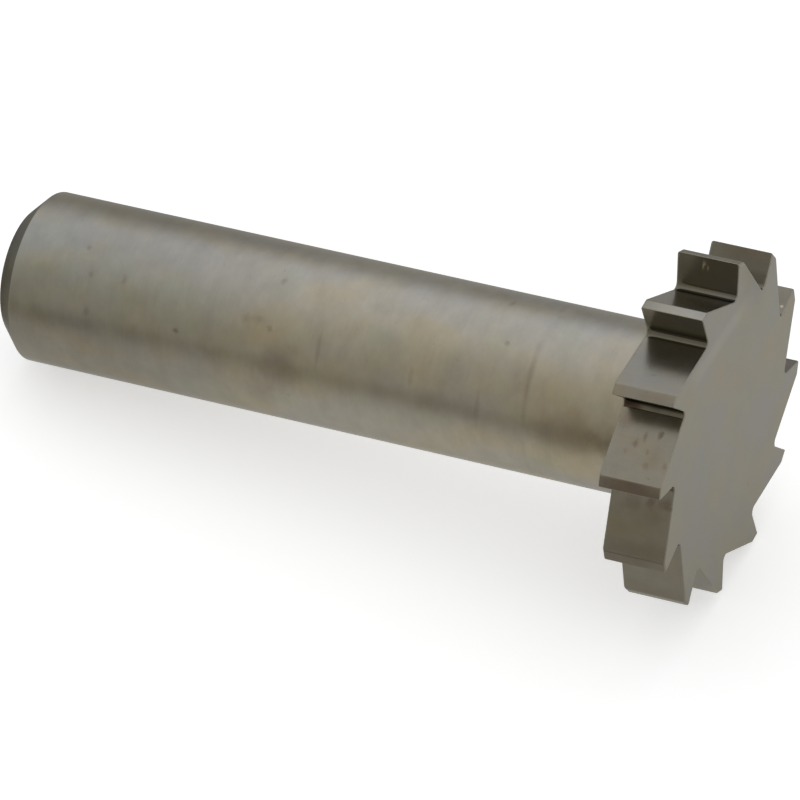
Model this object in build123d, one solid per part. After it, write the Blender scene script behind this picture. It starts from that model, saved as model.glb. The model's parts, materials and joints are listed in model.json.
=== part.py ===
from build123d import *
from math import atan2, degrees, radians, tan
import os

# A woodruff keyseat cutter: a thin toothed head and a straight shank, turned and ground from one bar.
# Lengths are in millimetres and angles in degrees.

# Shank
shank_diameter = 12.7
overall_length = 56.0
end_chamfer = 1.5
neck_fillet = 0.5

# Toothed head
cutter_diameter = 25.8
cutter_width = 4.76
side_dish_angle = 0.5

# Teeth, straight and cut for right-hand rotation
tooth_count = 12
rake_angle = 0.5
land_width = 0.83
land_relief_angle = 10.0
back_angle = 44.3
gullet_fillet = 0.45
corner_radius = 0.2

# Metal left outside the cutting edges on the turned blank, which gashing and grinding take away
grinding_stock = 0.4

shank_radius = shank_diameter / 2
cutter_radius = cutter_diameter / 2
tooth_pitch = 360 / tooth_count
head_back = overall_length - cutter_width

cutting_edge = Vector(cutter_radius, 0)
land_fall = Vector(0, -land_width).rotate(Axis.Z, -land_relief_angle)
heel = cutting_edge + land_fall


def at_tooth(point, number):
    """A point of the first tooth, moved round the axis to another tooth."""
    return point.rotate(Axis.Z, number * tooth_pitch)


def on_rake(back_point, back_direction):
    """Where the line of a tooth's back meets the line of the first tooth's rake face."""
    rake_line = Vector(-1, 0).rotate(Axis.Z, rake_angle)
    gap = back_point - cutting_edge
    depth = gap.cross(back_direction).Z / rake_line.cross(back_direction).Z
    return cutting_edge + rake_line * depth


def gashed_outline():
    """The head seen from its cutting end, before the lands are ground: each tooth has a rake face and a back."""
    back_line = Vector(0, -1).rotate(Axis.Z, -back_angle)
    tip = on_rake(heel, back_line)
    gullet_corner = on_rake(at_tooth(heel, 1), back_line.rotate(Axis.Z, tooth_pitch))
    corners = []
    for number in range(tooth_count):
        corners += [at_tooth(tip, number), at_tooth(gullet_corner, number)]
    with BuildSketch() as outline:
        with BuildLine():
            Polyline(*corners, close=True)
        make_face()
        gullets = outline.vertices().sort_by_distance((0, 0))[:tooth_count]
        fillet(gullets, gullet_fillet)
    return outline.sketch


def turned_blank():
    """Shank and head turned in one, with both sides of the head dished so that only the rim rubs."""
    blank_radius = cutter_radius + grinding_stock
    dish_slope = tan(radians(side_dish_angle))
    centre_dish = cutter_radius * dish_slope
    neck_dish = (cutter_radius - shank_radius) * dish_slope
    rim_rise = grinding_stock * dish_slope
    neck = (shank_radius, head_back + neck_dish)
    shank_end = (shank_radius, 0)
    with BuildSketch(Plane.XZ) as half_section:
        with BuildLine():
            Polyline(
                (0, 0),
                shank_end,
                neck,
                (blank_radius, head_back - rim_rise),
                (blank_radius, overall_length + rim_rise),
                (0, overall_length - centre_dish),
                close=True,
            )
        make_face()
        fillet(half_section.vertices().sort_by_distance(neck)[0], neck_fillet)
        chamfer(half_section.vertices().sort_by_distance(shank_end)[0], end_chamfer)
    return revolve(half_section.sketch, Axis.Z)


def gashed_cutter():
    """The blank with the metal between its teeth taken away, straight through the head."""
    gash_start = head_back - grinding_stock
    gash_length = cutter_width + 2 * grinding_stock
    rim = Circle(cutter_radius + 2 * grinding_stock)
    gashes = extrude(rim - gashed_outline(), gash_length)
    return turned_blank() - Pos(0, 0, gash_start) * gashes


def land_grinding():
    """The metal outside the first tooth's land and outside the rounded corners at its two ends."""
    forward = (cutting_edge - heel).normalized()
    outward = forward.rotate(Axis.Z, -90)
    run_out = 3 * corner_radius
    start = heel - forward * run_out + Vector(0, 0, head_back + cutter_width / 2)
    depth = corner_radius + 2 * grinding_stock
    with BuildSketch(Plane(start, x_dir=outward, z_dir=forward)) as section:
        with Locations((depth / 2 - corner_radius, 0)):
            Rectangle(depth, cutter_width + 4 * grinding_stock)
        with Locations((-cutter_width / 2, 0)):
            RectangleRounded(cutter_width, cutter_width, corner_radius, mode=Mode.SUBTRACT)
    return extrude(section.sketch, run_out + land_width + grinding_stock)


def ground_cutter():
    """The gashed cutter with the land of each tooth ground, and its corners rounded."""
    wheel_path = land_grinding()
    return gashed_cutter() - [Rot(0, 0, number * tooth_pitch) * wheel_path for number in range(tooth_count)]


def lying_on_floor(cutter):
    """The cutter at rest on its side: on one tooth's edge, the next tooth's heel and the shank's end."""
    next_heel = at_tooth(heel, 1)
    chord = next_heel - cutting_edge
    downward = Vector(chord.Y, -chord.X).normalized()
    turn = degrees(atan2(downward.Y, downward.X))
    head_drop = cutting_edge.dot(downward)
    tilt = degrees(atan2(head_drop - shank_radius, head_back + corner_radius - end_chamfer))
    lying = Rot(0, 90 - tilt, 0) * Rot(0, 0, -turn) * cutter
    box = lying.bounding_box()
    return Pos(-box.center().X, -box.center().Y, -box.min.Z) * lying


keyseat_cutter = lying_on_floor(ground_cutter())

os.makedirs("parts", exist_ok=True)
export_step(keyseat_cutter, "parts/keyseat_cutter.step")
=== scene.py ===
import json
from math import acos, atan2, cos, degrees, pi, radians, sin, tan

import bmesh
import bpy
from mathutils import Matrix, Vector


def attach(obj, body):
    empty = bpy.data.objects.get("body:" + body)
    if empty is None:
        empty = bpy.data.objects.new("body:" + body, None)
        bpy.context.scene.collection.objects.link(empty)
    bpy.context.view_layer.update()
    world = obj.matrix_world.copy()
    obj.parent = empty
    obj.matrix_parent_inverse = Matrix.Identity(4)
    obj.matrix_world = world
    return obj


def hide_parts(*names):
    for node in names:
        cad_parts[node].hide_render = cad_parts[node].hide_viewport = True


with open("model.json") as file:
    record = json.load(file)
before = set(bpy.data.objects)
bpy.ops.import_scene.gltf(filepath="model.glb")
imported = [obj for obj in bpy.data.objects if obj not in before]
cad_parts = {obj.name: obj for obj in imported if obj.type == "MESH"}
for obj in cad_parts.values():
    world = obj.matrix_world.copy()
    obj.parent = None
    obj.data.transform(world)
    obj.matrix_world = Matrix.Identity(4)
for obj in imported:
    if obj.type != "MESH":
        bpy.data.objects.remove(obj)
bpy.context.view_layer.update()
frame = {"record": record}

# A woodruff keyseat cutter lying on its side. Lengths are in millimetres and angles in degrees.
MM = 0.001

# The turned and ground steel, with the same sizes as its solid
shank_radius = 12.7 / 2
overall_length = 56.0
end_chamfer = 1.5
neck_fillet = 0.5
cutter_radius = 25.8 / 2
cutter_width = 4.76
side_dish_angle = 0.5
head_back = overall_length - cutter_width

# The teeth
tooth_count = 12
tooth_pitch = 360 / tooth_count
rake_angle = 0.5
land_width = 0.83
land_relief_angle = 10.0
back_angle = 44.3
gullet_fillet = 0.45
corner_radius = 0.2

# Edges as wear and the grinding wheel leave them
side_rounding = 0.07
heel_rounding = 0.22
cutting_rounding = 0.04
chamfer_rounding = 0.1

# How wide a strip of a side of the head is kept flat next to its rounded edge
side_margin = 0.12

# How finely the surfaces are divided
gullet_steps = 6
half_gullet = gullet_steps // 2
back_steps = 6
heel_steps = 3
land_steps = 2
edge_steps = 3
rake_steps = 4
side_steps = 3
corner_steps = 4
chamfer_steps = 3
neck_steps = 5
shank_ring_spacing = 2.0
side_ring_radii = (9.6, 8.5, 7.6)
face_ring_radii = (6.6, 5.2, 3.8, 2.4, 1.0)


def turned(point, angle):
    """A point or direction in the head's plane, turned round the tool's axis."""
    return Vector(point).to_2d() @ Matrix.Rotation(-radians(angle), 2)


def steps_between(start, end, count):
    """Points from start up to, and not including, end."""
    return [start.lerp(end, step / count) for step in range(count)]


def crossing(point, direction, other_point, other_direction):
    """Where two lines in a plane cross."""
    depth = (other_point - point).cross(other_direction) / direction.cross(other_direction)
    return point + direction * depth


def rounded(before, corner, after, radius, steps):
    """The points of an arc that rounds the corner between two others."""
    back = (before - corner).normalized()
    onward = (after - corner).normalized()
    half_opening = back.angle(onward) / 2
    centre = corner + (back + onward).normalized() * (radius / sin(half_opening))
    start = corner + back * (radius / tan(half_opening)) - centre
    end = corner + onward * (radius / tan(half_opening)) - centre
    sweep = degrees(atan2(start.cross(end), start.dot(end)))
    return [centre + turned(start, sweep * step / steps) for step in range(steps + 1)]


cutting_edge = Vector((cutter_radius, 0))
heel = cutting_edge + turned((0, -land_width), -land_relief_angle)
next_heel = turned(heel, tooth_pitch)


def tooth_points(side_inset, land_inset):
    """One pitch of the head's outline, from the middle of a gullet up the tooth's back and down its rake.

    The back and the rake are moved into the metal by one inset, and the land by the other.
    """
    back_line = turned((0, 1), -back_angle)
    land_line = (cutting_edge - heel).normalized()
    rake_line = turned((-1, 0), rake_angle)
    back_point = heel - turned(back_line, -90) * side_inset
    land_point = heel - turned(land_line, -90) * land_inset
    rake_point = cutting_edge - turned(rake_line, -90) * side_inset
    inner_heel = crossing(back_point, back_line, land_point, land_line)
    inner_edge = crossing(land_point, land_line, rake_point, rake_line)
    next_back = turned(back_point, tooth_pitch)
    bottom = crossing(rake_point, rake_line, next_back, turned(back_line, tooth_pitch))
    last_bottom = turned(bottom, -tooth_pitch)

    next_inner_heel = turned(inner_heel, tooth_pitch)
    gullet = rounded(inner_edge, bottom, next_inner_heel, gullet_fillet + side_inset, gullet_steps)
    heel_arc = rounded(last_bottom, inner_heel, inner_edge, heel_rounding, heel_steps)
    edge_arc = rounded(inner_heel, inner_edge, bottom, cutting_rounding, edge_steps)
    points = [turned(point, -tooth_pitch) for point in gullet[half_gullet:-1]]
    points += steps_between(turned(gullet[-1], -tooth_pitch), heel_arc[0], back_steps)
    points += heel_arc[:-1] + steps_between(heel_arc[-1], edge_arc[0], land_steps)
    points += edge_arc[:-1] + steps_between(edge_arc[-1], gullet[0], rake_steps)
    return points + gullet[:half_gullet]


GROUND_SHANK, TURNED_END, DISHED_SIDE, TOOTH_BACK, TOOTH_LAND, TOOTH_RAKE, GULLET, ROUNDED_EDGE = range(8)
pitch_finishes = ([GULLET] * half_gullet + [TOOTH_BACK] * back_steps
                  + [TOOTH_LAND] * (heel_steps + land_steps) + [ROUNDED_EDGE] * edge_steps
                  + [TOOTH_RAKE] * rake_steps + [GULLET] * half_gullet)

# How the tool lies: on one tooth's cutting edge, on the next tooth's heel and on the end of its shank
lying_chord = next_heel - cutting_edge
lying_turn = degrees(atan2(-lying_chord.x, lying_chord.y))
resting_end = next(mount for mount in frame["record"]["mounts"] if mount["name"] == "shank_end")
tilt = atan2(-resting_end["axis"][2], -resting_end["axis"][0])


def head_points(side_inset=0.0, land_inset=0.0):
    """The whole outline of the head as it lies."""
    tooth = tooth_points(side_inset, land_inset)
    turns = [number * tooth_pitch - lying_turn for number in range(tooth_count)]
    return [turned(point, turn) for turn in turns for point in tooth]


def arc_inset(set_back, radius):
    """How far an arc of this radius has left the surface it starts from, this far before its end."""
    short = max(radius - set_back, 0.0)
    return radius - (radius * radius - short * short) ** 0.5


def side_set_backs():
    """Distances from a side of the head, where the rings of its rounded edge and corners lie."""
    edge = [side_rounding * (1 - cos(radians(90 * step / side_steps))) for step in range(side_steps + 1)]
    start = acos(1 - side_rounding / corner_radius)
    sweeps = [start + (pi / 2 - start) * step / corner_steps for step in range(1, corner_steps + 1)]
    return edge + [corner_radius * (1 - cos(sweep)) for sweep in sweeps]


def dish(radius):
    """How far a side of the head is hollowed at this radius."""
    return (cutter_radius - radius) * tan(radians(side_dish_angle))


def shank_profile():
    """Radius and height of each ring, from the middle of the end to the head, and the finish before it."""
    middle = Vector((0, 0))
    rim = Vector((shank_radius - end_chamfer, 0))
    shoulder = Vector((shank_radius, end_chamfer))
    neck = Vector((shank_radius, head_back + dish(shank_radius)))
    side = Vector((cutter_radius, head_back))
    rim_arc = rounded(middle, rim, shoulder, chamfer_rounding, chamfer_steps)
    shoulder_arc = rounded(rim, shoulder, neck, chamfer_rounding, chamfer_steps)
    neck_arc = rounded(shoulder, neck, side, neck_fillet, neck_steps)
    count = round((neck_arc[0].y - shoulder_arc[-1].y) / shank_ring_spacing)

    end_rings = [Vector((radius, 0)) for radius in reversed(face_ring_radii) if radius < rim_arc[0].x]
    shank_rings = steps_between(shoulder_arc[-1], neck_arc[0], count)
    side_rings = [Vector((radius, head_back + dish(radius))) for radius in reversed(side_ring_radii)]
    profile = [(point, TURNED_END) for point in end_rings + rim_arc + shoulder_arc[:1]]
    profile += [(point, GROUND_SHANK) for point in shoulder_arc[1:-1] + shank_rings + neck_arc]
    return profile + [(point, DISHED_SIDE) for point in side_rings]


def ring(mesh, radius, height, angles):
    """A ring of points round the axis, in step with the points of the teeth."""
    return [mesh.verts.new((radius * cos(angle), radius * sin(angle), height)) for angle in angles]


def band(mesh, lower, upper, finishes):
    """The strip of faces between two rings, with one finish or with a finish for each face of a pitch."""
    for number in range(len(lower)):
        after = (number + 1) % len(lower)
        face = mesh.faces.new((lower[number], lower[after], upper[after], upper[number]))
        face.material_index = finishes[number % len(finishes)]


def cap(mesh, rim, height, finish):
    """Closes a ring with a fan round a middle point."""
    middle = mesh.verts.new((0, 0, height))
    for number in range(len(rim)):
        face = mesh.faces.new((rim[number], rim[(number + 1) % len(rim)], middle))
        face.material_index = finish


def cutter_mesh():
    """The whole tool as one closed skin, standing on its shank's end."""
    mesh = bmesh.new()
    sharp = head_points()
    start = atan2(sharp[0].y, sharp[0].x)
    angles = [start + 2 * pi * number / len(sharp) for number in range(len(sharp))]

    profile = shank_profile()
    last = ring(mesh, *profile[0][0], angles)
    cap(mesh, last, 0, TURNED_END)
    for point, finish in profile[1:]:
        onward = ring(mesh, *point, angles)
        band(mesh, last, onward, [finish])
        last = onward

    # Rings of the teeth, from the flat of a side inwards: outline, set back and the finish further in
    flat = head_points(side_rounding + side_margin, corner_radius + side_margin)
    flank = [(flat, 0.0, [DISHED_SIDE])]
    for set_back in side_set_backs():
        outline = head_points(arc_inset(set_back, side_rounding), arc_inset(set_back, corner_radius))
        flank.append((outline, set_back, [ROUNDED_EDGE] if set_back < side_rounding else pitch_finishes))
    finishes = [DISHED_SIDE]
    for outline, set_back, further_in in flank:
        heights = [head_back + dish(point.length) + set_back for point in outline]
        onward = [mesh.verts.new((*point, height)) for point, height in zip(outline, heights)]
        band(mesh, last, onward, finishes)
        last = onward
        finishes = further_in
    for outline, set_back, finishes in reversed(flank):
        heights = [overall_length - dish(point.length) - set_back for point in outline]
        onward = [mesh.verts.new((*point, height)) for point, height in zip(outline, heights)]
        band(mesh, last, onward, finishes)
        last = onward

    for radius in side_ring_radii + face_ring_radii:
        onward = ring(mesh, radius, overall_length - dish(radius), angles)
        band(mesh, last, onward, [DISHED_SIDE])
        last = onward
    cap(mesh, last, overall_length - dish(0), DISHED_SIDE)
    bmesh.ops.recalc_face_normals(mesh, faces=mesh.faces)
    return mesh


def laid_down(mesh):
    """Lays the tool on its side where its solid lies, in metres."""
    place = Vector(resting_end["pos_m"])
    to_side = Matrix.Translation(place) @ Matrix.Rotation(pi / 2 - tilt, 4, "Y") @ Matrix.Scale(MM, 4)
    bmesh.ops.transform(mesh, matrix=to_side, verts=mesh.verts)
    return place


class Value:
    """A node's output that takes part in Python expressions."""

    def __init__(self, finish, socket):
        self.finish = finish
        self.socket = socket

    def __add__(self, other):
        return self.finish.maths("ADD", self, other)

    __radd__ = __add__

    def __sub__(self, other):
        return self.finish.maths("SUBTRACT", self, other)

    def __rsub__(self, other):
        return self.finish.maths("SUBTRACT", other, self)

    def __mul__(self, other):
        return self.finish.maths("MULTIPLY", self, other)

    __rmul__ = __mul__

    def __truediv__(self, other):
        return self.finish.maths("DIVIDE", self, other)

    def __pow__(self, other):
        return self.finish.maths("POWER", self, other)

    def __neg__(self):
        return self * -1.0

    def __abs__(self):
        return self.finish.maths("ABSOLUTE", self)

    def clamped(self):
        """No more than 1 and no less than 0."""
        return self.finish.maths("MAXIMUM", self.finish.maths("MINIMUM", self, 1.0), 0.0)

    def rise(self, low, high):
        """0 below low, 1 above high, and smooth between."""
        sockets = {"Value": self, "From Min": low, "From Max": high}
        return self.finish.add("ShaderNodeMapRange", {"interpolation_type": "SMOOTHSTEP"}, sockets)

    def fall(self, low, high):
        """1 below low, 0 above high, and smooth between."""
        return 1 - self.rise(low, high)

    def within(self, start, full, waning, gone):
        """1 from full to waning, 0 before start and beyond gone, and smooth between."""
        return self.rise(start, full) * self.fall(waning, gone)


class Finish:
    """A node tree for one material or for the world."""

    # The colour sockets of a Mix node, whose names several sockets share
    mix_first = 6
    mix_second = 7
    mix_result = 2

    def __init__(self, owner):
        owner.use_nodes = True
        self.owner = owner
        self.tree = owner.node_tree
        self.tree.nodes.clear()

    def add(self, kind, settings=None, sockets=None, output=0):
        """A node of this kind, with its settings first and then its sockets' values or links."""
        node = self.tree.nodes.new(kind)
        for name, setting in (settings or {}).items():
            if name == "stops":
                self.set_stops(node.color_ramp, setting)
            else:
                setattr(node, name, setting)
        for name, value in (sockets or {}).items():
            if isinstance(value, Value):
                self.tree.links.new(value.socket, node.inputs[name])
            else:
                node.inputs[name].default_value = value
        return Value(self, node.outputs[output]) if node.outputs else None

    def set_stops(self, ramp, stops):
        while len(ramp.elements) < len(stops):
            ramp.elements.new(0.5)
        for element, (position, shade) in zip(ramp.elements, stops):
            element.position = position
            element.color = colour(*shade)

    def outputs_of(self, kind, names, sockets=None):
        """Several outputs of one new node."""
        node = self.add(kind, None, sockets).socket.node
        return [Value(self, node.outputs[name]) for name in names]

    def maths(self, operation, *values):
        return self.add("ShaderNodeMath", {"operation": operation}, dict(enumerate(values)))

    def vector_maths(self, operation, *vectors):
        """A vector, or for a length or a distance a number."""
        output = "Value" if operation in ("LENGTH", "DISTANCE") else "Vector"
        return self.add("ShaderNodeVectorMath", {"operation": operation}, dict(enumerate(vectors)), output)

    def mixed(self, factor, first, second, how="MIX"):
        """Two colours mixed, or combined by one of the mix node's other ways."""
        settings = {"data_type": "RGBA", "blend_type": how, "clamp_factor": True}
        sockets = {0: factor, self.mix_first: first, self.mix_second: second}
        return self.add("ShaderNodeMix", settings, sockets, self.mix_result)

    def surfaced(self, shader):
        """The material with this shader on its surface."""
        self.add("ShaderNodeOutputMaterial", None, {"Surface": shader})
        return self.owner


def colour(red, green, blue):
    return (red, green, blue, 1.0)


white = colour(1, 1, 1)
black = colour(0, 0, 0)

# What each steel reflects straight back. All are one steel; the darker shades given to the head and to the
# shank's end are partly painted shade
shank_steel = (0.36, 0.338, 0.288)
end_steel = (0.176, 0.171, 0.150)
side_steel = (0.227, 0.216, 0.185)
tooth_steel = (0.245, 0.231, 0.196)
rake_steel = (0.166, 0.156, 0.129)
gullet_steel = (0.135, 0.128, 0.106)
edge_steel = (0.32, 0.305, 0.26)

# How all of them tint what they reflect at a glancing angle
glancing_tint = colour(0.7, 0.69, 0.66)

# How red, green and blue change in patches of the metal
warm_lean = (1.05, 1, 0.9)
cool_lean = (0.97, 0.99, 1.05)
green_lean = (0.95, 1.01, 0.96)
stain_and_shade_lean = (1.12, 0.86, 0.8)
cool_end_lean = (0.965, 1.03, 1.12)

# Kinds of noise: how many layers of detail, and how rough
smooth_noise = (1.0, 0.5)
soft_noise = (2.0, 0.5)
groove_noise = (2.0, 0.6)
ragged_noise = (3.0, 0.6)
cloudy_noise = (4.0, 0.6)

# How fine the ragged edge of a mark is for its reach, and how ragged
edge_grain = 0.9
edge_raggedness = 1.5


class Steel(Finish):
    """A steel finish that knows its place on the tool, in millimetres from the middle of the shank's end."""

    def __init__(self, name, laid):
        super().__init__(bpy.data.materials.new(name))
        here = self.add("ShaderNodeTexCoord", output="Object")
        lying = (0, pi / 2 - tilt, 0)
        sockets = {"Vector": here, "Location": laid, "Rotation": lying, "Scale": (MM, MM, MM)}
        self.place = self.add("ShaderNodeMapping", {"vector_type": "TEXTURE"}, sockets)
        apart = {"Vector": self.place}
        self.down, self.sideways, self.along = self.outputs_of("ShaderNodeSeparateXYZ", "XYZ", apart)
        self.radius = (self.down * self.down + self.sideways * self.sideways) ** 0.5

    def stretched(self, around, along):
        """The place with its own scale round the tool and along it, in cycles to the millimetre."""
        return self.vector_maths("MULTIPLY", self.place, (around, around, along))

    def circled(self, across, around):
        """The place with its own scale across circles about the tool's axis, and along them."""
        scaled = {"X": self.radius * across, "Y": self.down * around, "Z": self.sideways * around}
        return self.add("ShaderNodeCombineXYZ", None, scaled)

    def noise(self, place, kind, shift=0.0):
        """Noise of a kind, from -0.5 to 0.5 about its middle."""
        detail, roughness = kind
        moved = self.vector_maths("ADD", place, (shift, shift * 0.7, -shift))
        sockets = {"Vector": moved, "Scale": 1.0, "Detail": detail, "Roughness": roughness}
        return self.add("ShaderNodeTexNoise", None, sockets) - 0.5

    def mark(self, centre, reach, softness=0.9):
        """1 at a place on the tool and 0 beyond its reach in the three directions, with a ragged edge."""
        away = self.vector_maths("SUBTRACT", self.place, centre)
        distance = self.vector_maths("LENGTH", self.vector_maths("DIVIDE", away, reach))
        grain = edge_grain / max(reach)
        ragged = distance + self.noise(self.stretched(grain, grain), ragged_noise) * edge_raggedness
        return ragged.fall(1 - softness, 1.0)

    def marked(self, dark, marks):
        """What is dark already, with marks added: place, reach down, sideways and along, and how dark."""
        for centre, reach, depth in marks:
            dark = dark + self.mark(centre, reach) * depth
        return dark

    def blotches(self, around, along, start, end, shift=0.0):
        """Ragged patches where the noise is high, from nothing at start to full at end."""
        return self.noise(self.stretched(around, along), cloudy_noise, shift).rise(start, end)

    def tinted(self, base, mottling, tone):
        """The base colour with soft warm, cool and green patches, times a tone."""
        cool = self.noise(self.stretched(0.28, 0.16), smooth_noise, 7.3)
        green = self.noise(self.stretched(0.4, 0.3), smooth_noise, 21.7)
        patches = (
            (mottling.rise(-0.12, 0.2), warm_lean),
            (cool.rise(-0.1, 0.2), cool_lean),
            (green.rise(0.02, 0.2) * 0.4, green_lean),
        )
        tint = colour(*base)
        for share, lean in patches:
            tint = self.mixed(share, tint, colour(*(part * change for part, change in zip(base, lean))))
        grey = self.add("ShaderNodeCombineColor", None, {"Red": tone, "Green": tone, "Blue": tone})
        return self.mixed(1.0, tint, grey, how="MULTIPLY")

    def leaning(self, paint, share, lean):
        """The paint with its red, green and blue changed by a share of a lean."""
        return self.mixed(1.0, paint, self.mixed(share.clamped(), white, colour(*lean)), how="MULTIPLY")

    def finished(self, paint, roughness, height, depth):
        """The metal itself, with its fine grooves as deep as this in millimetres."""
        sockets = {"Strength": 1.0, "Distance": depth * MM, "Height": height}
        grooves = self.add("ShaderNodeBump", None, sockets)
        metal = {"Base Color": paint, "Metallic": 1.0, "Roughness": roughness, "Normal": grooves,
                 "Specular Tint": glancing_tint}
        return self.surfaced(self.add("ShaderNodeBsdfPrincipled", None, metal))


def on_shank(along, angle):
    """A place on the shank's skin: millimetres from its end, and degrees from straight down towards +Y."""
    return (shank_radius * cos(radians(angle)), shank_radius * sin(radians(angle)), along)


# A faint ring round the shank: its place, how wide it is, and how dark where it is worn and on its stain
shank_ring = 42.6
ring_width = (0.02, 0.36)
ring_wear = 0.08
ring_stain = 0.13
ring_stain_spot = (on_shank(shank_ring, -136), (3.4, 3.4, 1.5), 0.8)

# Where the metal turns yellower towards the head, and by how much
yellow_stretch = (41.5, 43.5)
yellowing = 0.12

# The shank gets lighter from its end to its middle: its tone at the end, how much it gains, and where
shank_end_tone = 0.85
shank_gain = 0.16
shank_gain_stretch = (8.0, 28.0)

# The cooler stretch near the shank's end: place, reach and softness
cool_end = (on_shank(3.0, -138), (4.7, 4.7, 22.0), 0.8)

# The shank's blotches: their scale round and along, where they start and are full, shift and how dark
small_blotches = ((1.6, 1.6, 0.17, 0.26, 4.7), 0.14)
broad_blotches = ((0.9, 1.5, 0.18, 0.3, 8.1), 0.1)

# Dark marks on the shank, the last two painted shade next to the head: place, reach down, sideways and
# along, and how dark
shank_marks_and_shade = (
    (on_shank(39.0, -113), (2.6, 2.6, 0.34), 0.15),
    (on_shank(33.7, -120), (1.3, 1.3, 0.26), 0.12),
    (on_shank(26.3, -122), (1.7, 1.7, 0.24), 0.14),
    (on_shank(23.2, -107), (2.6, 2.4, 2.4), 0.19),
    (on_shank(21.8, -86), (2.8, 3.2, 2.0), 0.11),
    (on_shank(20.3, -133), (0.6, 0.6, 0.5), 0.15),
    (on_shank(21.3, -134), (0.5, 0.5, 0.6), 0.14),
    (on_shank(22.3, -130), (0.4, 0.4, 0.35), 0.2),
    (on_shank(22.2, -164), (0.3, 0.6, 0.35), 0.2),
    (on_shank(15.0, -115), (0.32, 0.32, 0.32), 0.32),
    (on_shank(6.8, -157), (0.35, 0.35, 0.3), 0.22),
    (on_shank(7.6, -139), (0.4, 0.4, 0.3), 0.14),
    (on_shank(10.3, -140), (0.6, 0.6, 0.25), 0.14),
    (on_shank(7.8, -114), (0.4, 0.4, 0.4), 0.14),
    (on_shank(6.5, -100), (1.4, 2.0, 5.0), 0.05),
    (on_shank(40.2, -155), (0.3, 0.3, 0.3), 0.22),
    (on_shank(41.7, -133), (2.0, 2.0, 1.3), 0.09),
    (on_shank(39.0, 171), (0.3, 0.5, 0.3), 0.2),
    (on_shank(35.2, -105), (1.2, 1.2, 2.2), 0.12),
    # Painted shade next to the head
    (on_shank(46.2, -104), (2.0, 1.6, 3.4), 0.24),
    (on_shank(49.2, -104), (1.6, 1.6, 2.0), 0.3),
)

# Marks on the teeth, written in the same way: stain marks, and painted shade on the lower teeth and near the
# top of one tooth's back
back_stains_and_shade = (
    # The first two and the ninth are partly painted shade, near the top of this tooth's back
    ((-5.91, -8.93, 54.72), (0.45, 0.45, 0.28), 0.36),
    ((-5.77, -9.17, 53.65), (0.5, 0.5, 0.2), 0.22),
    ((-5.43, -9.73, 53.13), (0.55, 0.55, 0.32), 0.26),
    ((-5.20, -10.09, 54.11), (0.35, 0.35, 0.25), 0.14),
    ((-5.06, -10.33, 52.53), (0.3, 0.3, 0.25), 0.12),
    ((-4.67, -10.97, 54.30), (0.4, 0.4, 0.3), 0.14),
    ((-4.81, -10.74, 55.70), (0.4, 0.4, 0.25), 0.16),
    ((-5.05, -10.34, 54.82), (1.2, 1.6, 1.0), 0.08),
    ((-6.2, -8.4, 51.9), (1.3, 1.3, 0.9), 0.14),
    ((-1.05, -10.5, 54.4), (0.7, 0.7, 0.5), 0.26),
    ((-1.0, -10.5, 55.4), (0.8, 0.8, 0.7), 0.26),
    ((-0.7, -10.7, 52.9), (1.0, 1.2, 1.3), 0.12),
    ((-0.2, -11.0, 54.8), (1.0, 1.2, 1.6), 0.08),
    # These two are painted shade on the backs of the lower teeth
    ((2.2, -12.3, 53.6), (1.0, 1.0, 4.0), 0.14),
    ((8.4, -9.5, 53.6), (1.6, 1.6, 4.0), 0.1),
)
gullet_stains = (
    ((-7.0, -7.5, 51.6), (0.9, 0.9, 1.2), 0.7),
    ((-7.0, -7.4, 53.8), (0.6, 0.6, 0.6), 0.15),
)
land_stains_and_shade = (
    # The first and the last are painted shade on the lands of the lower teeth
    ((-2.7, -12.5, 53.6), (3.0, 3.0, 5.0), 0.40),
    ((-8.6, -9.6, 53.6), (3.0, 3.0, 5.0), 0.14),
    ((2.8, -12.5, 53.6), (2.2, 2.2, 5.0), 0.2),
)
rake_stains = (
    ((-9.0, 8.8, 53.9), (1.2, 1.2, 3.0), 0.12),
    ((-11.3, 2.9, 51.8), (1.0, 1.0, 0.8), 0.22),
    ((-3.2, 11.3, 55.6), (2.0, 2.0, 3.0), 0.08),
)

# Bright scratches on the teeth: place, reach down, sideways and along, and how much brighter
land_scratches = (
    ((-12.4, -3.2, 54.8), (2.0, 2.0, 3.0), 0.3),
)
rake_scratches = (
    ((-12.0, 3.06, 53.35), (0.26, 0.26, 0.2), 1.8),
    ((-11.7, 2.98, 53.24), (0.34, 0.34, 0.12), 1.6),
    ((-11.7, 2.98, 53.60), (0.34, 0.34, 0.12), 1.6),
    ((-3.01, 10.77, 55.64), (0.2, 0.2, 0.16), 1.2),
)

# Painted shade on the teeth near the floor, for the shaded floor they reflect: its middle, from where to
# where it thins out, how ragged that is, how much it darkens the metal and how much less yellow the metal is
# there
low_shade_middle = (6.3, -10.9, 53.6)
low_shade_edge = (6.0, 10.0)
low_shade_raggedness = 4.0
low_shade_loss = 0.13
low_shade_greying = 0.1

# Painted light on the rakes low on the tool: by how much, and where that starts and is full, down from the
# axis
low_rake_painted_light = 0.28
low_rake_light_edge = (-6.0, -3.5)

# The turned end is lighter in its middle: by how much, and where that starts to wane and is gone
end_middle_gain = 0.25
end_middle_edge = (2.5, 5.0)

# A dull patch on the front side of the head: place, reach and how dull
dull_patch = ((-10.0, 5.5, 56.0), (4.0, 4.0, 2.0))
dull_loss = 0.14

# A light streak there: its middle, half its width and length from full to gone, and how light
streak_down = -8.5
streak_sideways = -0.8
streak_width = (0.2, 0.9)
streak_length = (3.0, 5.5)
streak_gain = 0.12

# Where the rear side of the head gives way to the front side, along the tool
front_side = (53.0, 54.0)


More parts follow.
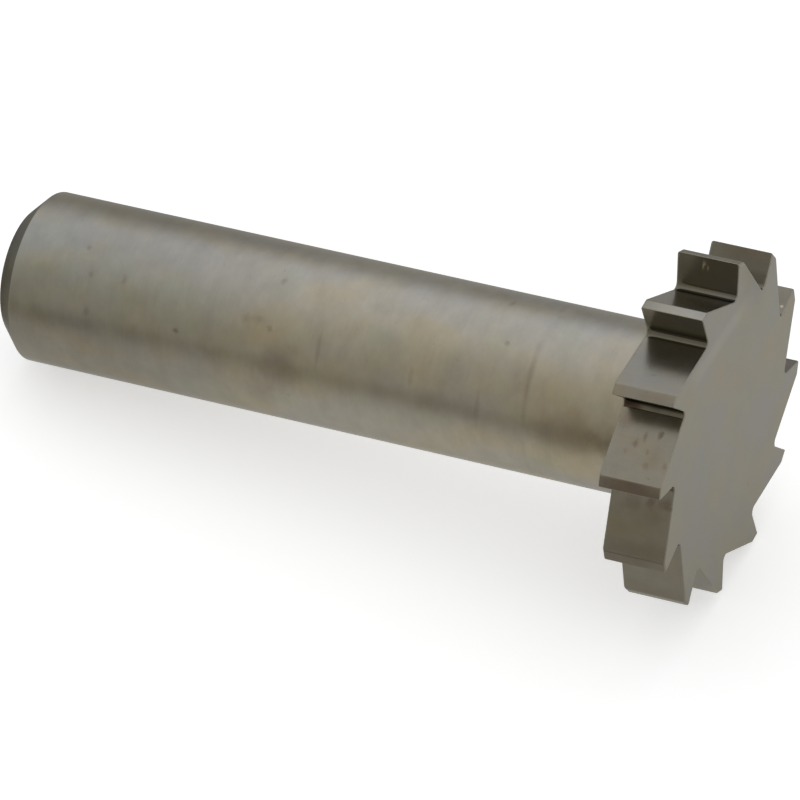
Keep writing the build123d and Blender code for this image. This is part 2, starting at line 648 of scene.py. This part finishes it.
def ground_shank(laid):
    """Fine rings from the grinding wheel under soft clouds, marks and stained patches, with painted shade
    next to the head.
    """
    steel = Steel("ground_shank", laid)
    fine = steel.noise(steel.stretched(0.35, 14.0), groove_noise)
    broad = steel.noise(steel.stretched(0.22, 2.2), soft_noise, 3.1)
    mottling = steel.noise(steel.stretched(0.3, 0.22), ragged_noise, 11.0)
    cloud = steel.noise(steel.stretched(0.5, 0.7), cloudy_noise, 31.0)
    tone = 1 + fine * 0.09 + broad * 0.05 + cloud * 0.38
    tone = tone * (shank_end_tone + shank_gain * steel.along.rise(*shank_gain_stretch))

    ring_share = abs(steel.along - shank_ring).fall(*ring_width)
    worn = steel.noise(steel.stretched(0.5, 0.02), soft_noise, 5.0).rise(-0.05, 0.12)
    dark = ring_share * (worn * ring_wear + steel.mark(*ring_stain_spot) * ring_stain)
    dark = steel.marked(dark, shank_marks_and_shade)
    for blotches, depth in (small_blotches, broad_blotches):
        dark = dark + steel.blotches(*blotches) * depth
    tone = tone * (1 - dark.clamped())

    yellow = steel.along.rise(*yellow_stretch) * yellowing
    paint = steel.tinted(shank_steel, mottling + yellow, tone)
    paint = steel.leaning(paint, steel.mark(*cool_end), cool_end_lean)
    # Marks, blotches and the painted shade lean the colour towards red
    paint = steel.leaning(paint, dark * 0.7, stain_and_shade_lean)
    roughness = 0.30 + cloud * 0.08 + dark * 0.12
    height = fine + broad * 0.3 - ring_share * 0.4
    return steel.finished(paint, roughness, height, depth=0.0008)


def turned_end(laid):
    """Rings from the lathe, lighter in the middle."""
    steel = Steel("turned_end", laid)
    fine = steel.noise(steel.circled(7.0, 0.2), groove_noise)
    cloud = steel.noise(steel.stretched(0.6, 0.6), cloudy_noise, 9.0)
    tone = 1 + fine * 0.25 + cloud * 0.35
    tone = tone * (1 + end_middle_gain * steel.radius.fall(*end_middle_edge))
    paint = steel.tinted(end_steel, cloud, tone)
    return steel.finished(paint, 0.42 + cloud * 0.1, fine, depth=0.002)


def dished_side(laid):
    """Fine circles from the grinding wheel under soft clouds, with a streak and a dull patch in front."""
    steel = Steel("dished_side", laid)
    fine = steel.noise(steel.circled(11.0, 0.12), ragged_noise)
    mottling = steel.noise(steel.stretched(0.25, 0.25), ragged_noise, 2.0)
    cloud = steel.noise(steel.stretched(0.45, 0.45), cloudy_noise, 13.0)
    tone = 1 + fine * 0.10 + cloud * 0.2
    tone = tone * (1 - steel.blotches(1.4, 1.4, 0.2, 0.26, 6.0) * 0.12)

    streak = abs(steel.down - streak_down).fall(*streak_width) * steel.along.rise(*front_side)
    streak = streak * abs(steel.sideways - streak_sideways).fall(*streak_length)
    tone = tone * (1 + streak_gain * streak) * (1 - dull_loss * steel.mark(*dull_patch))
    paint = steel.tinted(side_steel, mottling, tone)
    return steel.finished(paint, 0.33 + cloud * 0.10, fine, depth=0.001)


def tooth_surface(name, laid, base, roughness, stains_and_shade=(), scratches=(), low_painted_light=0.0):
    """A tooth's ground surface, with grooves running along the tool and painted shade near the floor. Its
    gain paints light on it low down.
    """
    steel = Steel(name, laid)
    fine = steel.noise(steel.stretched(9.0, 0.35), ragged_noise)
    mottling = steel.noise(steel.stretched(0.4, 0.4), ragged_noise, 2.0)
    cloud = steel.noise(steel.stretched(0.9, 0.9), cloudy_noise, 17.0)
    tone = 1 + fine * 0.12 + cloud * 0.24

    dark = steel.marked(steel.blotches(1.8, 1.8, 0.15, 0.24, 6.0) * 0.2, stains_and_shade)
    # Painted shade on the teeth near the floor
    low_shade_distance = steel.vector_maths("DISTANCE", steel.place, low_shade_middle)
    low_shade = (low_shade_distance + cloud * low_shade_raggedness).fall(*low_shade_edge)
    tone = tone * (1 - dark.clamped()) * (1 - low_shade * low_shade_loss)
    for centre, reach, gain in scratches:
        tone = tone * (1 + steel.mark(centre, reach) * gain)
    # Painted light, lighter low on the tool
    if low_painted_light:
        tone = tone * (1 + low_painted_light * steel.down.rise(*low_rake_light_edge))
    paint = steel.tinted(base, mottling - low_shade * low_shade_greying, tone)
    # Stain marks and painted shade lean the colour towards red
    paint = steel.leaning(paint, dark * 1.3, stain_and_shade_lean)
    return steel.finished(paint, roughness + cloud * 0.10 + dark * 0.1, fine, depth=0.0012)


def add_object(name, mesh):
    data = bpy.data.meshes.new(name)
    mesh.to_mesh(data)
    mesh.free()
    made = bpy.data.objects.new(name, data)
    bpy.context.scene.collection.objects.link(made)
    return made


def add_cutter():
    mesh = cutter_mesh()
    laid = laid_down(mesh)
    cutter = add_object("keyseat_cutter_steel", mesh)
    for polygon in cutter.data.polygons:
        polygon.use_smooth = True
    finishes = {
        GROUND_SHANK: ground_shank(laid),
        TURNED_END: turned_end(laid),
        DISHED_SIDE: dished_side(laid),
        TOOTH_BACK: tooth_surface("tooth_backs", laid, tooth_steel, 0.24, back_stains_and_shade),
        TOOTH_LAND: tooth_surface("tooth_lands", laid, tooth_steel, 0.25, land_stains_and_shade, land_scratches),
        TOOTH_RAKE: tooth_surface("tooth_rakes", laid, rake_steel, 0.22, rake_stains, rake_scratches,
                                  low_rake_painted_light),
        GULLET: tooth_surface("gullets", laid, gullet_steel, 0.16, gullet_stains),
        ROUNDED_EDGE: tooth_surface("rounded_edges", laid, edge_steel, 0.6),
    }
    for number in sorted(finishes):
        cutter.data.materials.append(finishes[number])
    cutter.modifiers.new("flat_faces", "WEIGHTED_NORMAL")
    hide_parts("keyseat_cutter")
    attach(cutter, "root")


# The studio: a pale floor that shows a little lighter than it is lit, an even sky and one soft box
floor_radius = 3000
floor_sides = 96
floor_paper = colour(0.8, 0.8, 0.8)
floor_lift = 0.48
sky_grey = colour(0.70, 0.70, 0.70)
soft_box_level = 0.33
soft_box_sides = (700, 600)
soft_box_place = (-203, 315, 588)

# Watts of a soft box to the square metre, for each unit of its level
watts_to_level = 4

# A half-round tent that only the steel shows, and sheets just over the floor under it
tent_radius = 500
tent_length = 1600
tent_step = 6
apron_rise = 0.3
apron_fade = 6.0
back_apron_end = 20

# The tent's shades: degrees from the horizon behind, over the top, to the horizon in front, level and warmth
tent_shades = (
    (0, 0.44, 0.0), (12, 0.52, 0.0), (24, 0.62, 0.0), (38, 0.90, -0.4), (50, 1.07, -0.4),
    (64, 1.01, -0.2), (80, 0.94, 0.0), (100, 0.90, 0.4), (118, 0.76, 0.8), (134, 0.64, 1.2),
    (150, 0.58, 1.3), (162, 0.55, 1.3), (172, 0.52, 1.3), (180, 0.48, 1.3),
)

# The aprons' shades: millimetres from under the tool, level and warmth
front_shades = (
    (2, 0.70, 0.5), (8, 0.765, 0.6), (14, 0.70, 0.8), (21, 0.65, 0.9), (28, 0.52, 1.0), (34, 0.44, 1.3),
    (42, 0.35, 1.6), (60, 0.37, 1.6), (300, 0.43, 1.4),
)
back_shades = ((14, 0.62, 0.0), (40, 0.60, 0.0), (60, 0.60, 0.0), (110, 0.54, 0.0), (300, 0.48, 0.0))

# The tool's shadow on the aprons: how dark, and from where to where to the left and outwards
apron_shadow = 0.17
apron_shadow_left = (0, 26, 34, 46)
apron_shadow_out = (24, 34)

# To the left of this, the aprons' shades lie closer to the tool by a share
narrowing = 0.3
narrowing_left = (26, 34)

# The shadow beside the shank's end: its colour, its height, and from where to where to the left and sideways
end_shadow = colour(0.215, 0.2, 0.13)
end_shadow_rise = 0.39
end_shadow_left = (30, 34, 60, 80)
end_shadow_sideways = (-6, -2, 14, 24)

# The camera, fitted to the tool's outline in the photograph
camera_lens = 340.907
camera_sensor = 36
camera_azimuth = 22.643
camera_elevation = 41.539
camera_roll = 2.756
camera_aim = (2.985, -2.935, 8.340)
camera_distance = 546.45
camera_near = 50
camera_far = 20000


def add_floor():
    mesh = bmesh.new()
    bmesh.ops.create_circle(mesh, cap_ends=True, segments=floor_sides, radius=floor_radius * MM)
    floor = add_object("floor", mesh)
    finish = Finish(bpy.data.materials.new("pale_floor"))

    # 1 where the camera, a reflection or a transmission looks, and 0 for the light that falls on things
    rays = ("Is Camera Ray", "Is Glossy Ray", "Is Transmission Ray")
    looks = finish.outputs_of("ShaderNodeLightPath", rays)
    seen = (looks[0] + looks[1] + looks[2]).clamped()
    paper = finish.add("ShaderNodeBsdfDiffuse", None, {"Color": floor_paper})
    glow = finish.add("ShaderNodeEmission", None, {"Color": white, "Strength": seen * floor_lift})
    both = finish.add("ShaderNodeAddShader", None, {0: paper, 1: glow})
    floor.data.materials.append(finish.surfaced(both))


def reflected_only(name, mesh, shade, clear):
    """A sheet that only shows in the steel's reflections.

    Its shade and how clear it is come from the place: millimetres lengthwise, sideways and upward.
    """
    sheet = add_object(name, mesh)
    sheet.visible_camera = sheet.visible_diffuse = sheet.visible_shadow = False
    sheet.visible_transmission = sheet.visible_volume_scatter = False
    finish = Finish(bpy.data.materials.new(name))
    here = {"Vector": finish.add("ShaderNodeTexCoord", output="Object")}
    place = [part / MM for part in finish.outputs_of("ShaderNodeSeparateXYZ", "XYZ", here)]
    paint = finish.add("ShaderNodeEmission", None, {"Color": shade(finish, *place), "Strength": 1.0})
    nothing = finish.add("ShaderNodeBsdfTransparent")
    both = finish.add("ShaderNodeMixShader", None, {0: clear(*place), 1: paint, 2: nothing})
    sheet.data.materials.append(finish.surfaced(both))


def warmed(level, warmth):
    """A grey that leans to a warm brown by a share."""
    return (level * (1 + 0.03 * warmth), level * (1 - 0.015 * warmth), level * (1 - 0.13 * warmth))


def flat_sheet(left, right, start, end, height):
    """A rectangle over the floor, between two places lengthwise and two sideways."""
    mesh = bmesh.new()
    corners = ((left, start), (right, start), (right, end), (left, end))
    mesh.faces.new([mesh.verts.new(Vector((*corner, height)) * MM) for corner in corners])
    return mesh


def add_tent():
    """A half-round tent over the tool."""
    mesh = bmesh.new()
    angles = [radians(angle) for angle in range(0, 181, tent_step)]
    rims = []
    for end in (-tent_length / 2, tent_length / 2):
        points = [Vector((end, tent_radius * cos(angle), tent_radius * sin(angle))) for angle in angles]
        rims.append([mesh.verts.new(point * MM) for point in points])
    for number in range(len(angles) - 1):
        mesh.faces.new((rims[0][number], rims[0][number + 1], rims[1][number + 1], rims[1][number]))
    stops = [(angle / 180, warmed(level, warmth)) for angle, level, warmth in tent_shades]

    def shade(finish, lengthwise, sideways, upward):
        round_the_tool = finish.maths("ARCTAN2", upward, sideways) / pi
        return finish.add("ShaderNodeValToRGB", {"stops": stops}, {0: round_the_tool})

    reflected_only("reflected_tent", mesh, shade, lambda *place: 0.0)


def add_apron(name, side, right_end, shades):
    """A sheet over the floor, in front of the tool or behind it, that ends to the right there."""
    near = side * shades[0][0]
    far = side * shades[-1][0]
    stops = [((distance / abs(far)) ** 0.5, warmed(level, warmth)) for distance, level, warmth in shades]

    def shade(finish, lengthwise, sideways, upward):
        away = sideways / far * (1 + narrowing * (-lengthwise).rise(*narrowing_left))
        lit = finish.add("ShaderNodeValToRGB", {"stops": stops}, {0: away ** 0.5})
        shadow = (-lengthwise).within(*apron_shadow_left) * abs(sideways).fall(*apron_shadow_out)
        return finish.mixed(shadow * apron_shadow, lit, black)

    def clear(lengthwise, sideways, upward):
        outward = ((sideways - near) / (side * apron_fade)).clamped()
        return 1 - outward * ((right_end - lengthwise) / apron_fade).clamped()

    mesh = flat_sheet(-tent_length / 2, right_end, far, near, apron_rise)
    reflected_only(name, mesh, shade, clear)


def add_end_shadow():
    """The tool's shadow on the floor beside the shank's end, as the chamfer shows it."""
    left = -end_shadow_left[-1]
    right = -end_shadow_left[0]
    start = end_shadow_sideways[0]
    end = end_shadow_sideways[-1]

    def clear(lengthwise, sideways, upward):
        return 1 - sideways.within(*end_shadow_sideways) * (-lengthwise).within(*end_shadow_left)

    mesh = flat_sheet(left, right, start, end, end_shadow_rise)
    reflected_only("reflected_end_shadow", mesh, lambda *place: end_shadow, clear)


def add_lights():
    world = bpy.data.worlds.new("studio")
    bpy.context.scene.world = world
    sky = Finish(world)
    light = sky.add("ShaderNodeBackground", None, {"Color": sky_grey, "Strength": 1.0})
    sky.add("ShaderNodeOutputWorld", None, {"Surface": light})

    lamp_data = bpy.data.lights.new("soft_box", "AREA")
    lamp_data.shape = "RECTANGLE"
    lamp_data.size, lamp_data.size_y = (side * MM for side in soft_box_sides)
    lamp_data.energy = soft_box_level * watts_to_level * lamp_data.size * lamp_data.size_y
    lamp = bpy.data.objects.new("soft_box", lamp_data)
    lamp.location = Vector(soft_box_place) * MM
    lamp.rotation_euler = (-lamp.location).to_track_quat("-Z", "Y").to_euler()
    lamp.visible_glossy = False
    bpy.context.scene.collection.objects.link(lamp)


def add_camera():
    data = bpy.data.cameras.new("camera")
    data.lens = camera_lens
    data.sensor_width = camera_sensor
    data.clip_start = camera_near * MM
    data.clip_end = camera_far * MM
    camera = bpy.data.objects.new("camera", data)
    azimuth, elevation = radians(camera_azimuth), radians(camera_elevation)
    back = Vector((sin(azimuth) * cos(elevation), -cos(azimuth) * cos(elevation), sin(elevation)))
    camera.location = (Vector(camera_aim) + back * camera_distance) * MM
    upright = (-back).to_track_quat("-Z", "Y")
    camera.rotation_mode = "QUATERNION"
    camera.rotation_quaternion = Matrix.Rotation(-radians(camera_roll), 3, -back).to_quaternion() @ upright
    bpy.context.scene.collection.objects.link(camera)
    bpy.context.scene.camera = camera


add_camera()
add_cutter()
add_floor()
add_lights()
add_tent()
add_apron("reflected_front", -1, tent_length / 2, front_shades)
add_apron("reflected_back", 1, back_apron_end, back_shades)
add_end_shadow()
bpy.context.scene.view_settings.view_transform = "Standard"
